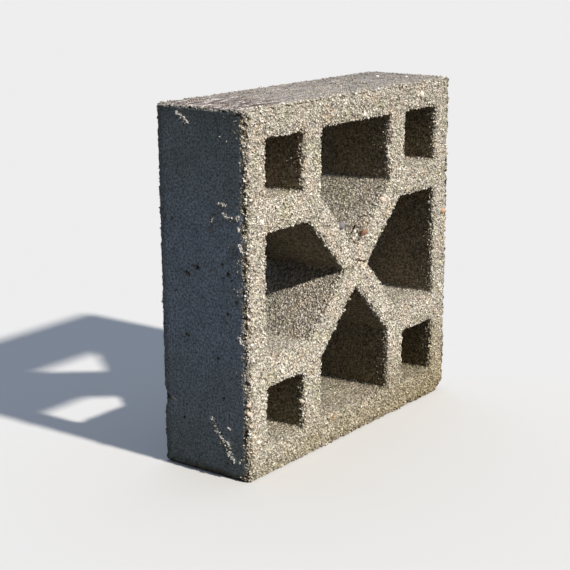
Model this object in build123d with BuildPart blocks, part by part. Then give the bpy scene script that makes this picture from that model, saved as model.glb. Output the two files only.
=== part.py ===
from build123d import *
import os
from math import atan, degrees, sqrt

# A decorative concrete screen block, cast in one piece. It stands on its lower bed face.
# X runs along the face to the right, Y from the front face to the back face, and Z up.
# The origin is the middle of the lower bed face.

# Driving dimensions, in millimetres
face_side = 295.3  # width and height: a 12 inch modular unit less its 3/8 inch mortar joint
depth = 90.0  # front face to back face
rim = 25.0  # wall round the outside, at the front face
web = 25.5  # wall between a corner cell and the arrow cell beside it, at the front face
rib = 25.5  # diagonal ribs that cross in the middle, at the front face
arrow_width = 98.6  # across an arrow cell, at the front face
cell_draft = 1.2  # how far each cell wall stands back at the back face, so the mould core comes out
cell_corner = 3.0  # inside corners of the cells
cell_mouth = 1.0  # worn edge where a cell meets the front or back face
arris = 2.0  # worn outer edges and corners
chip_run = 21.0  # broken lower right front corner: how far it runs along the bed
chip_rise = 13.0  # how far it runs up the side
chip_reach = 46.0  # how far back it runs out
chip_swell = 3.0  # how far the broken surface bulges past a straight cut

# What follows from them
half_side = face_side / 2
half_arrow = arrow_width / 2
arrow_base = half_side - rim
arrow_tip = rib / sqrt(2)
arrow_shoulder = arrow_tip + half_arrow
corner_cell = arrow_base - half_arrow - web
corner_cell_centre = arrow_base - corner_cell / 2
draft_angle = degrees(atan(cell_draft / depth))

# The two faces of the block, both looking forward, centred on the pattern, with local Y up
back_face = Plane(origin=(0, depth / 2, half_side), x_dir=(1, 0, 0), z_dir=(0, -1, 0))
front_face = back_face.offset(depth)

# The pattern at the front: four square corner cells and four arrow cells that point at the middle
with BuildSketch(back_face) as cell_pattern:
    with BuildSketch(mode=Mode.PRIVATE) as arrow:
        Polygon(
            (arrow_tip, 0),
            (arrow_shoulder, half_arrow),
            (arrow_base, half_arrow),
            (arrow_base, -half_arrow),
            (arrow_shoulder, -half_arrow),
            align=None,
        )
    with PolarLocations(0, 4):
        add(arrow.sketch)
    with GridLocations(2 * corner_cell_centre, 2 * corner_cell_centre, 2, 2):
        Rectangle(corner_cell, corner_cell)
    fillet(cell_pattern.vertices(), radius=cell_corner)
    offset(amount=cell_draft)

# The outline of the broken corner on the front face, with the corner itself well inside it
chip_start = (half_side - chip_run, -half_side)
chip_end = (half_side, chip_rise - half_side)
chip_slope = sqrt(chip_run**2 + chip_rise**2)
chip_crown = (
    half_side - chip_run / 2 + chip_swell * chip_rise / chip_slope,
    chip_rise / 2 - half_side - chip_swell * chip_run / chip_slope,
)
with BuildSketch(front_face) as chip_outline:
    with BuildLine():
        ThreePointArc(chip_start, chip_crown, chip_end)
        Polyline(
            chip_end,
            (half_side + chip_run, chip_rise - half_side),
            (half_side + chip_run, -half_side - chip_rise),
            (half_side - chip_run, -half_side - chip_rise),
            chip_start,
        )
    make_face()

# The cast block: a solid slab, its worn edges, the cells through it and the broken corner
with BuildPart() as concrete_block:
    Box(face_side, depth, face_side, align=(Align.CENTER, Align.CENTER, Align.MIN))
    fillet(concrete_block.edges(), radius=arris)
    extrude(cell_pattern.sketch, amount=depth, taper=draft_angle, mode=Mode.SUBTRACT)
    faces_front_to_back = concrete_block.faces().filter_by(Axis.Y).sort_by(Axis.Y)
    for face in (faces_front_to_back[0], faces_front_to_back[-1]):
        fillet(face.inner_wires().edges(), radius=cell_mouth)
    extrude(
        chip_outline.sketch,
        amount=sqrt(chip_run**2 + chip_reach**2 + chip_rise**2),
        dir=(chip_run, chip_reach, -chip_rise),
        mode=Mode.SUBTRACT,
    )

concrete_block.part.label = "concrete_block"
os.makedirs("parts", exist_ok=True)
export_step(concrete_block.part, "parts/concrete_block.step")
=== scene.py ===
"""A pierced concrete screen block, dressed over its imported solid.

The casting has an open, gravelly texture on its two pierced faces and in its cells, where the dry mix
was only tamped, and a dense grey skin on its four outer sides, where it slid out of the steel mould.
"""

from math import ceil, radians

import bmesh
import bpy
from bpy.props import FloatProperty, FloatVectorProperty, IntProperty, PointerProperty
from mathutils import Matrix, Vector, noise


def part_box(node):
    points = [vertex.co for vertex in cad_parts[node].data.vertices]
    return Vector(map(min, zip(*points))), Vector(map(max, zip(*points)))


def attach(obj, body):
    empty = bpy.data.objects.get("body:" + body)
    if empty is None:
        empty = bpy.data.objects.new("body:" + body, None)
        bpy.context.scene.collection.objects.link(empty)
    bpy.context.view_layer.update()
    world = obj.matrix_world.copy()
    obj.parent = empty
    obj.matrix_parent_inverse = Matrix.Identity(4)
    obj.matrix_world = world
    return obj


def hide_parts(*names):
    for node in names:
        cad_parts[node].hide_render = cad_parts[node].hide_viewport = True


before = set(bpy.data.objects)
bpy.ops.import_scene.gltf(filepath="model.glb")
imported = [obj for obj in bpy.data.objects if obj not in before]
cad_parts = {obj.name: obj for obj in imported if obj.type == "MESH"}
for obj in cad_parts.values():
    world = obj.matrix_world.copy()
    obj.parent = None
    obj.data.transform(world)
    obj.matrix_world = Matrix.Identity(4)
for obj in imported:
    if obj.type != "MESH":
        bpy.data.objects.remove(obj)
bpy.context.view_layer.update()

bl_info = {
    "name": "Concrete Screen Block",
    "version": (1, 0, 0),
    "blender": (4, 5, 0),
    "location": "3D View > Sidebar > Screen Block",
    "description": "Weathers a cast concrete screen block and sets its aggregate",
    "category": "Object",
}

MM = 0.001
CASTING = "concrete_block"
LOW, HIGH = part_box(CASTING)
HALF_WIDTH = (HIGH.x - LOW.x) / 2
HALF_DEPTH = (HIGH.y - LOW.y) / 2
HEIGHT = HIGH.z - LOW.z
MIDDLE = Vector((0, 0, HEIGHT / 2))
IN_CELL = 12 * MM  # what lies further than this under every outer side is in a cell or beside one
SAME_POINT = 0.01 * MM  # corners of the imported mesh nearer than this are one
SAME_PLANE = 0.02 * MM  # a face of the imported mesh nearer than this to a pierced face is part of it
CLOSEST_POINTS = 0.8  # least distance in millimetres between two points of a mark
MOST_TRIANGLES = 190000  # of the cast body
STONE_EDGE = 0.72  # edge of the cube that a stone is made from, as a share of its size
FLOOR_REACH = 60.0  # half the floor's side, in metres
KEY_WAY = (-0.03, 1.0, -0.78)  # which way the key light runs
BRIGHTEST = (0.62, 0.45, 0.64)  # where the surroundings are brightest: behind the block, right and high

# The fixed seed that each trait of the grains and crumbs is drawn with
SEEDS = {
    "size": 3,
    "shape": 5,
    "turn": 9,
    "tone": 13,
    "picked": 17,
    "rusty": 19,
    "proud": 23,
    "stray": 31,
    "piled": 37,
}

LEFT = -HALF_WIDTH / MM
RIGHT = HALF_WIDTH / MM
FRONT = -HALF_DEPTH / MM
BACK = HALF_DEPTH / MM
TOP = HEIGHT / MM

# Damage by its kind, in millimetres: how far each mark reaches, how deep or high it is, and the points
# of its line. A crust is old mortar that stands proud, a hole has painted shade, and a chip bares fresh
# concrete.
MARKS = {
    "crust": (
        (1.0, 1.3, (LEFT, 22.5, 288.5), (LEFT, 20.3, 286.8)),
        (1.1, 1.7, (LEFT, 18.2, 286.2), (LEFT, 16.7, 285)),
        (1.3, 2.0, (LEFT, 15.7, 284), (LEFT, 14, 283.4)),
        (1.0, 1.5, (LEFT, 12, 282.6)),
        (0.8, 1.3, (LEFT, 17, 280.3)),
        (0.4, 0.8, (LEFT, -20, 273.5)),
        (0.4, 0.8, (LEFT, -23.5, 272)),
        (0.6, 1.0, (LEFT, -26.5, 270.5)),
        (1.3, 1.6, (LEFT, -17, 220), (LEFT, -20, 222), (LEFT, -24, 221)),
        (1.5, 1.5, (LEFT, -24, 214), (LEFT, -28, 211), (LEFT, -30, 212)),
        (1.2, 1.9, (LEFT, -12, 213), (LEFT, -10, 208)),
        (1.0, 1.9, (LEFT, -8, 202), (LEFT, -9, 200)),
        (0.8, 1.1, (LEFT, -36, 214), (LEFT, -37, 212)),
        (0.8, 1.1, (LEFT, -37, 205), (LEFT, -37, 203)),
        (0.9, 1.2, (LEFT, -38, 192), (LEFT, -39, 187)),
        (1.0, 1.1, (LEFT, -36, 119), (LEFT, -37, 115)),
        (0.9, 1.6, (LEFT, -7, 48), (LEFT, -9, 46)),
        (0.9, 1.6, (LEFT, -7, 43)),
        (1.2, 1.8, (LEFT, -11, 42), (LEFT, -12, 39)),
        (1.6, 2.2, (LEFT, -14, 36), (LEFT, -17, 34)),
        (2.4, 2.4, (LEFT, -18, 31), (LEFT, -20, 27)),
        (1.6, 2.2, (LEFT, -22, 30), (LEFT, -24, 27)),
        (2.2, 2.2, (LEFT, -23, 24), (LEFT, -26, 21)),
        (1.2, 1.8, (LEFT, -27, 19), (LEFT, -29, 16)),
        (1.1, 1.6, (LEFT, -15, 30), (LEFT, -17, 28)),
        (0.5, 1.2, (LEFT, -24, 43), (LEFT, -26, 42)),
        (0.9, 1.5, (LEFT, -21, 13), (LEFT, -22, 12)),
        (0.9, 1.5, (LEFT, -25, 14), (LEFT, -26, 14)),
        (0.9, 1.4, (LEFT, -36, 18)),
        (0.3, 0.6, (LEFT, 37, 60), (LEFT, 31, 55)),
    ),
    "hole": (
        (1.5, 1.8, (LEFT, 16, 164), (LEFT, 14, 162)),
        (1.2, 1.5, (LEFT, 28, 147)),
        (1.0, 1.5, (LEFT, 10, 170), (LEFT, 8, 169)),
        (1.6, 1.8, (LEFT, 5, 169)),
        (1.2, 1.5, (LEFT, -20, 175)),
        (1.6, 2.0, (LEFT, -26, 168)),
        (1.4, 1.8, (LEFT, -21, 164)),
        (1.1, 1.5, (LEFT, -29, 163)),
        (1.4, 1.8, (LEFT, -34, 147)),
        (1.3, 1.6, (LEFT, -25, 136)),
        (1.0, 1.2, (LEFT, -24, 129)),
        (1.4, 1.8, (LEFT, 18, 113), (LEFT, 16, 112)),
        (1.0, 1.4, (LEFT, -14, 98)),
        (1.3, 1.6, (LEFT, -19, 66)),
        (1.1, 1.4, (LEFT, 22, 42)),
        (1.0, 1.3, (LEFT, 30, 205)),
        (0.9, 1.6, (LEFT, 31, TOP - 2)),
        (0.8, 1.4, (LEFT, 26, TOP - 1)),
        (0.9, 1.4, (LEFT, 19, TOP - 2)),
        (1.1, 1.8, (LEFT, 10, TOP - 2)),
        (0.8, 1.4, (LEFT, 2, TOP - 2)),
        (0.9, 1.6, (LEFT, -6, TOP - 2)),
        (0.8, 1.4, (LEFT, -13, TOP - 2)),
        (0.9, 1.5, (LEFT, -23, TOP - 3), (LEFT, -25, TOP - 3)),
        (0.9, 1.6, (LEFT, -36, TOP - 4), (LEFT, -39, TOP - 5)),
        (1.4, 1.6, (126, 20, TOP)),
        (1.2, 1.4, (98, -3, TOP)),
        (1.6, 1.6, (-18, -15, TOP)),
        (1.3, 1.6, (136, FRONT, 241)),
        (1.3, 1.6, (142, FRONT, 240)),
        (1.6, 2.2, (-58, FRONT, 187), (-47, FRONT, 181)),
        (1.8, 3.0, (-1, FRONT, 153), (15, FRONT, 149)),
        (1.2, 2.0, (-8, FRONT, 150), (-3, FRONT, 146)),
        (1.2, 2.2, (37, FRONT + 3, 203), (34, FRONT + 3, 199)),
        (0.9, 1.8, (27, FRONT + 1, 193)),
        (0.8, 1.6, (23, FRONT, 189)),
        (1.6, 2.2, (3, FRONT + 6, 172), (6, FRONT + 4, 175)),
        (1.4, 2.4, (13, -32, 179), (10, -32, 175)),
        (1.2, 2.2, (5, -42, 171), (3, -40, 169)),
        (1.2, 2.4, (-149, FRONT, 293), (-142, FRONT, 287)),
        (2.4, 3.0, (34, FRONT, 168), (41, FRONT, 174)),
        (1.6, 2.6, (25, FRONT, 159), (28, FRONT, 161)),
        (1.5, 2.4, (46, FRONT, 178)),
        (1.8, 2.6, (73, FRONT, 53), (73, FRONT, 49)),
        (1.6, 2.4, (88, FRONT, 199)),
        (1.6, 2.4, (72, FRONT, 241), (72, FRONT, 238)),
        (1.3, 2.0, (72, FRONT, 253)),
        (1.3, 1.8, (-134, FRONT, 277)),
        (1.5, 2.2, (-51, FRONT, 184)),
        (1.2, 2.0, (52, FRONT, 226)),
        (1.2, 2.0, (8, FRONT, 273)),
        (1.1, 2.0, (-6, FRONT, 273)),
        (1.2, 2.0, (-73, FRONT, 245)),
        (1.2, 2.0, (-73, FRONT, 269)),
        (1.3, 2.0, (-109, FRONT, 199)),
        (1.2, 2.0, (-125, FRONT, 180)),
        (1.2, 2.0, (-125, FRONT, 257)),
        (1.7, 2.4, (-147, FRONT, 268), (-146, FRONT, 265)),
        (1.6, 2.4, (-147, FRONT, 289), (-144, FRONT, 287)),
        (1.3, 2.0, (-146, FRONT, 236)),
        (1.3, 2.0, (-146, FRONT, 228)),
        (1.2, 1.8, (-147, FRONT, 133)),
        (1.2, 1.8, (-146, FRONT, 77)),
        (1.4, 2.0, (-146, FRONT, 26)),
        (1.2, 1.8, (-146, FRONT, 20)),
    ),
    "chip": (
        (6.5, 3.6, (LEFT, FRONT, TOP - 2), (LEFT, FRONT, TOP - 10)),
        (3.6, 2.4, (LEFT, FRONT, 270), (LEFT, FRONT, 264)),
        (2.8, 2.0, (LEFT, FRONT, 205), (LEFT, FRONT, 200)),
        (2.6, 2.0, (LEFT, FRONT, 128)),
        (3.0, 2.2, (LEFT, FRONT, 96), (LEFT, FRONT, 92)),
        (3.4, 2.4, (LEFT, FRONT, 54), (LEFT, FRONT, 48)),
        (3.4, 2.4, (LEFT, FRONT, 32), (LEFT, FRONT, 27)),
        (6.0, 3.4, (LEFT, FRONT, 5)),
        (5.0, 2.6, (RIGHT, FRONT, 240), (RIGHT, FRONT, 236)),
        (4.0, 2.2, (RIGHT, FRONT, 206)),
        (3.4, 1.8, (RIGHT, FRONT, 142)),
        (4.0, 2.2, (RIGHT, FRONT, 84)),
        (6.0, 3.0, (RIGHT, BACK, TOP)),
        (3.4, 1.8, (20, BACK, TOP), (28, BACK, TOP)),
        (4.4, 2.0, (-96, BACK, TOP), (-88, BACK, TOP)),
        (4.0, 2.0, (RIGHT, BACK, 190), (RIGHT, BACK, 180)),
        (5.0, 2.4, (LEFT, BACK, 60), (LEFT, BACK, 52)),
        (4.0, 2.4, (-75, FRONT, 237), (-75, FRONT, 233)),
        (3.4, 2.2, (-75, FRONT, 262), (-75, FRONT, 257)),
        (3.6, 2.4, (49, FRONT, 246), (49, FRONT, 234)),
        (3.0, 2.0, (123, FRONT, 184), (123, FRONT, 172)),
        (4.0, 2.4, (-63, FRONT, 185), (-54, FRONT, 176)),
    ),
}

# Places in millimetres where the grains are iron-stained, and how far each reaches
STAINED = (
    ((26, FRONT, 284), 5), ((65, FRONT, 279), 5), ((-45, FRONT, 283), 6), ((-36, FRONT, 280), 5),
    ((-140, FRONT, 262), 6), ((-131, FRONT, 268), 5), ((-128, FRONT, 255), 4), ((139, FRONT, 173), 4),
    ((-146, FRONT, 68), 4), ((-146, FRONT, 61), 4), ((-55, FRONT, 11), 5), ((-31, FRONT, 22), 4),
    ((-78, FRONT, 90), 5), ((60, FRONT, 112), 5),
)

# Large pebbles that show: place in millimetres, size and colour
PEBBLES = (
    ((100, FRONT - 1, 283), 7.5, "#e2d8c4"),
    ((94, FRONT, 286), 4.0, "#d3c8b0"),
    ((-129, FRONT, 208), 5.0, "#efe9dd"),
    ((10, FRONT, 276), 4.5, "#ece6da"),
    ((-24, FRONT, 187), 6.2, "#827d80"),
    ((10, FRONT - 1, 175), 6.0, "#94684f"),
    ((10, -35, 176), 3.2, "#f3ece0"),
    ((8, -38, 173), 3.0, "#ece4d6"),
    ((5, -37, 171), 2.6, "#f0eadf"),
    ((-147, FRONT, 63), 4.5, "#dcc4b4"),
    ((-147, FRONT, 58), 4.0, "#e2cbb9"),
    ((-141, FRONT, 258), 4.5, "#a9a9a3"),
    ((50, FRONT + 4, 243), 3.5, "#d5cec0"),
    ((50, FRONT + 3, 235), 4.0, "#e2dccf"),
    ((-74, FRONT + 3, 235), 3.5, "#dad3c5"),
    ((-74, FRONT + 5, 232), 3.0, "#cbc3b4"),
    ((123, FRONT + 5, 183), 3.5, "#e0d8c8"),
    ((38, FRONT - 1, 200), 6.0, "#dcc6b6"),
    ((138, FRONT - 1, 174), 5.0, "#c9a27e"),
    ((-104, FRONT, 82), 4.5, "#e6dece"),
    ((-87, FRONT, 50), 4.0, "#ddd2bd"),
    ((111, 10, TOP), 3.5, "#f1ede5"),
    ((122, -14, TOP), 3.0, "#efeae0"),
)


def linear(code):
    """An sRGB hex colour as linear red, green, blue and alpha."""
    parts = [int(code[i : i + 2], 16) / 255 for i in (1, 3, 5)]
    return tuple(p / 12.92 if p <= 0.04045 else ((p + 0.055) / 1.055) ** 2.4 for p in parts) + (1.0,)


def colour(name, code, description):
    """A colour that the sidebar shows, with its default given as sRGB hex."""
    return FloatVectorProperty(
        name=name, description=description, subtype="COLOR", size=4, min=0, max=1, default=linear(code)
    )


def length(name, size, description):
    """A length that the sidebar shows, with its default given in millimetres."""
    return FloatProperty(
        name=name, description=description, unit="LENGTH", precision=4, default=size * MM
    )


def add(tree, kind, *inputs, output=0, named=None, stops=None, **settings):
    """Adds a node, sets it, fills its inputs in order or by name, and returns one of its outputs."""
    node = tree.nodes.new(kind)
    for name, value in settings.items():
        setattr(node, name, value)
    ready = [s for s in node.inputs if not s.is_unavailable]
    given = list(zip(ready, inputs))
    for name, value in (named or {}).items():
        given.append((next(s for s in ready if s.name == name), value))
    for socket, value in given:
        if isinstance(value, bpy.types.NodeSocket):
            tree.links.new(value, socket)
        elif value is not None:
            socket.default_value = value
    if stops:
        marks = node.color_ramp.elements
        while len(marks) < len(stops):
            marks.new(1.0)
        for mark, (place, code) in zip(marks, stops):
            mark.position = place
            mark.color = linear(code)
    ready = [s for s in node.outputs if not s.is_unavailable]
    if not ready:
        return node
    return ready[output] if isinstance(output, int) else next(s for s in ready if s.name == output)


class CastingSettings(bpy.types.PropertyGroup):
    """Sizes and colours of the cast body."""

    mesh_size: length("Mesh size", 0.85, "Spacing of the even mesh that the relief is worked on")
    grain_size: length("Grain size", 2.2, "Typical grain of the mix")
    relief: length("Relief", 0.7, "How deep the open texture is between grains")
    pit_depth: length("Pit depth", 1.6, "How deep the gaps are where a grain is missing")
    pit_spacing: length("Pit spacing", 4.4, "Distance between the places where a pit may be")
    arris_loss: length("Arris loss", 3.0, "Most that is worn off where a face meets a side or a cell")
    arris_reach: length("Arris reach", 3.4, "How far from the edge the wear reaches")
    skin_wave: length("Skin wave", 0.15, "Unevenness of the mould-stripped sides")
    seed: IntProperty(name="Seed", description="Changes where grains, pits and wear fall", default=7)
    notch_depth: length("Notch depth", 2.6, "How deep the lumps are that are gone from outer arrises")
    face_colour: colour("Face", "#c9beac", "Sand and paste between the grains of the pierced faces")
    cell_colour: colour("Cell", "#d8cdbf", "Sand and paste in the cells")
    # Painted light: the skin's blue-grey is partly a painted tint of cool skylight
    sky_tinted_skin_colour: colour("Skin", "#aeb9c3", "Dense cement skin of the outer sides")
    film_colour: colour("Film", "#a1978c", "Thin smear of old mortar on the two beds")
    dull_skin_colour: colour("Dull skin", "#98a19f", "Skin near the top and the foot")
    # Skin of the right end, without the painted skylight tint
    untinted_skin_colour: colour("Dry skin", "#b1b2b0", "Skin at the right end")
    crust_colour: colour("Crust", "#b9b7b4", "Old mortar stuck to the left end")
    moss_colour: colour("Moss", "#5c5238", "Dried moss and soil along the foot")


class AggregateSettings(bpy.types.PropertyGroup):
    """Sizes and colours of the grains that show at the surface, and of the crumbs of mortar."""

    spacing: length("Spacing", 1.6, "Least distance between two grains on the front face")
    back_spacing: length("Back spacing", 2.0, "Least distance between two grains on the back face")
    cell_spacing: length("Cell spacing", 1.9, "Least distance between two grains in a cell")
    bed_spacing: length("Bed spacing", 2.2, "Least distance between two grains on a bed")
    crumbs: IntProperty(name="Crumbs", description="Crumbs of mortar at each point of a crust", default=6)
    crumb_smallest: length("Smallest crumb", 0.55, "Smallest crumb of old mortar")
    crumb_largest: length("Largest crumb", 2.1, "Largest crumb of old mortar")
    smallest: length("Smallest", 1.1, "Smallest grain")
    largest: length("Largest", 2.8, "Largest grain")
    sink: FloatProperty(
        name="Sink", description="Share of a grain's size that its middle lies under", default=0.14
    )
    film_colour: colour("Film", "#b2a89e", "Mortar smeared over the grains of a bed")
    # Painted light: this paste is partly tinted blue like painted cool skylight
    sky_tinted_skin_colour: colour("Skin", "#8d949a", "Cement paste over the grains of a side")
    crumb_colour: colour("Crumb", "#c9c6c1", "Loose bits of the old mortar")
    seed: IntProperty(name="Seed", description="Changes where the grains fall", default=11)


class StageSettings(bpy.types.PropertyGroup):
    """The camera, the floor and the lamp."""

    lens: FloatProperty(name="Lens", description="Focal length for a 36 mm sensor", default=86.93)
    azimuth: FloatProperty(name="Azimuth", description="Left of straight ahead", default=-52.696)
    elevation: FloatProperty(name="Elevation", description="Above level", default=14.395)
    roll: FloatProperty(name="Roll", description="Tilt of the camera", default=-0.343)
    place: FloatVectorProperty(
        name="Place",
        description="Where the camera stands",
        unit="LENGTH",
        default=(-0.93509, -0.68055, 0.42195),
    )
    power: FloatProperty(name="Power", description="Strength of the key lamp", default=4.95)
    spread: FloatProperty(name="Spread", description="Width of the key lamp, in degrees", default=2.6)
    key_colour: colour("Key", "#fffbf5", "Colour of the key lamp")
    sky_colour: colour("Surroundings", "#cfdffb", "Soft light from all round")
    floor_colour: colour("Floor", "#d6d4d0", "Pale floor, as the camera sees it")
    floor_bounce: colour("Floor bounce", "#403e3a", "What the floor gives back to the block")


def tree_for(name, sockets):
    """An empty Geometry Nodes tree with a geometry input and output and the named inputs given."""
    tree = bpy.data.node_groups.new(name, "GeometryNodeTree")
    tree.interface.new_socket("Geometry", in_out="INPUT", socket_type="NodeSocketGeometry")
    for socket_name, socket_type in sockets:
        tree.interface.new_socket(socket_name, in_out="INPUT", socket_type=socket_type)
    tree.interface.new_socket("Geometry", in_out="OUTPUT", socket_type="NodeSocketGeometry")
    return tree, tree.nodes.new("NodeGroupInput").outputs


def close_tree(tree, geometry, material):
    """Ends a tree in real geometry that carries its material."""
    real = add(tree, "GeometryNodeRealizeInstances", geometry)
    done = add(tree, "GeometryNodeSetMaterial", real, named={"Material": material})
    tree.links.new(done, tree.nodes.new("NodeGroupOutput").inputs[0])


def grow(obj, tree, values):
    """Puts a tree on an object, with each named input set by its identifier."""
    modifier = obj.modifiers.new(tree.name, "NODES")
    modifier.node_group = tree
    for item in tree.interface.items_tree:
        if item.in_out == "INPUT" and item.name in values:
            modifier[item.identifier] = values[item.name]
    return modifier


def plain_mesh(obj, name):
    """What an object's modifiers make of it, as a mesh of its own."""
    graph = bpy.context.evaluated_depsgraph_get()
    mesh = bpy.data.meshes.new_from_object(obj.evaluated_get(graph))
    mesh.name = name
    return mesh


def link(name, mesh):
    """An object at the origin that holds a mesh."""
    obj = bpy.data.objects.new(name, mesh)
    bpy.context.scene.collection.objects.link(obj)
    return obj


def discard(obj):
    """Removes a working object and its mesh."""
    mesh = obj.data
    bpy.data.objects.remove(obj)
    bpy.data.meshes.remove(mesh)


def material_for(name):
    """A new material with an empty node tree."""
    material = bpy.data.materials.new(name)
    material.use_nodes = True
    material.node_tree.nodes.clear()
    return material, material.node_tree


def place_points(name, rows, names):
    """A working object of loose points in millimetres, each with named numbers after its place."""
    mesh = bpy.data.meshes.new(name)
    mesh.from_pydata([Vector(row[0]) * MM for row in rows], [], [])
    for column, attribute in enumerate(names, 1):
        values = mesh.attributes.new(attribute, "FLOAT", "POINT")
        values.data.foreach_set("value", [row[column] for row in rows])
    return link(name, mesh)


def mark_points(wanted):
    """Points along every mark of the wanted kinds, closer together than the mark is wide."""
    rows = []
    for kind in [kind for kind in MARKS if kind in wanted]:
        kinds = [float(kind == other) for other in wanted]
        for reach, deep, *line in MARKS[kind]:
            ends = [Vector(point) for point in line]
            places = ends[:1]
            for start, end in zip(ends, ends[1:]):
                steps = ceil((end - start).length / max(reach * 0.5, CLOSEST_POINTS))
                places += [start.lerp(end, n / steps) for n in range(1, steps + 1)]
            rows += [(place, reach * MM, deep * MM, *kinds) for place in places]
    return place_points("marks", rows, ("reach", "deep") + wanted)


def casting_copy():
    """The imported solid's mesh, merged, and the outlines of its two flat pierced faces as loose edges."""
    solid = bpy.data.meshes.new("casting_copy")
    outlines = bpy.data.meshes.new("face_outlines")
    shape = bmesh.new()
    shape.from_mesh(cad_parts[CASTING].data)
    bmesh.ops.remove_doubles(shape, verts=shape.verts, dist=SAME_POINT)
    shape.to_mesh(solid)
    pierced = {f for f in shape.faces if abs(abs(f.calc_center_median().y) - HALF_DEPTH) < SAME_PLANE}
    inner = [e for e in shape.edges if sum(f in pierced for f in e.link_faces) != 1]
    bmesh.ops.delete(shape, geom=inner, context="EDGES")
    shape.to_mesh(outlines)
    shape.free()
    return solid, outlines


def depths(tree, place):
    """How deep a place lies under the nearest end, bed and pierced face, and how far off the arris is.

    The front arrises are the most worn, so the others count as further off: those at the back, and
    those between a bed and an end.
    """
    parts = add(tree, "ShaderNodeSeparateXYZ", place).node.outputs
    across = add(tree, "ShaderNodeMath", parts["X"], operation="ABSOLUTE")
    under_end = add(tree, "ShaderNodeMath", HALF_WIDTH, across, operation="SUBTRACT")
    under_top = add(tree, "ShaderNodeMath", HIGH.z, parts["Z"], operation="SUBTRACT")
    under_bed = add(tree, "ShaderNodeMath", under_top, parts["Z"], operation="MINIMUM")
    through = add(tree, "ShaderNodeMath", parts["Y"], operation="ABSOLUTE")
    under_face = add(tree, "ShaderNodeMath", HALF_DEPTH, through, operation="SUBTRACT")
    nearer = add(tree, "ShaderNodeMath", under_end, under_bed, operation="MINIMUM")
    further = add(tree, "ShaderNodeMath", under_end, under_bed, operation="MAXIMUM")
    further = add(tree, "ShaderNodeMath", further, 1.5 * MM, operation="ADD")
    further = add(tree, "ShaderNodeMath", further, under_face, operation="MINIMUM")
    arris = add(tree, "ShaderNodeMath", nearer, further, operation="MAXIMUM")
    spared = add(tree, "ShaderNodeMapRange", parts["Y"], 8 * MM - HALF_DEPTH, HALF_DEPTH, 0.0, 3 * MM)
    arris = add(tree, "ShaderNodeMath", arris, spared, operation="ADD")
    return under_end, under_bed, under_face, arris


def nearest_point(tree, obj, place, names):
    """How far off the nearest of an object's points is, and the named numbers that it carries."""
    points = add(tree, "GeometryNodeObjectInfo", named={"Object": obj}, output="Geometry")
    index = add(tree, "GeometryNodeSampleNearest", points, place)
    found = [add(tree, "GeometryNodeProximity", points, output="Distance", target_element="POINTS")]
    for name in names:
        value = add(tree, "GeometryNodeInputNamedAttribute", name, data_type="FLOAT")
        found.append(add(tree, "GeometryNodeSampleIndex", points, value, index))
    return found


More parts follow.
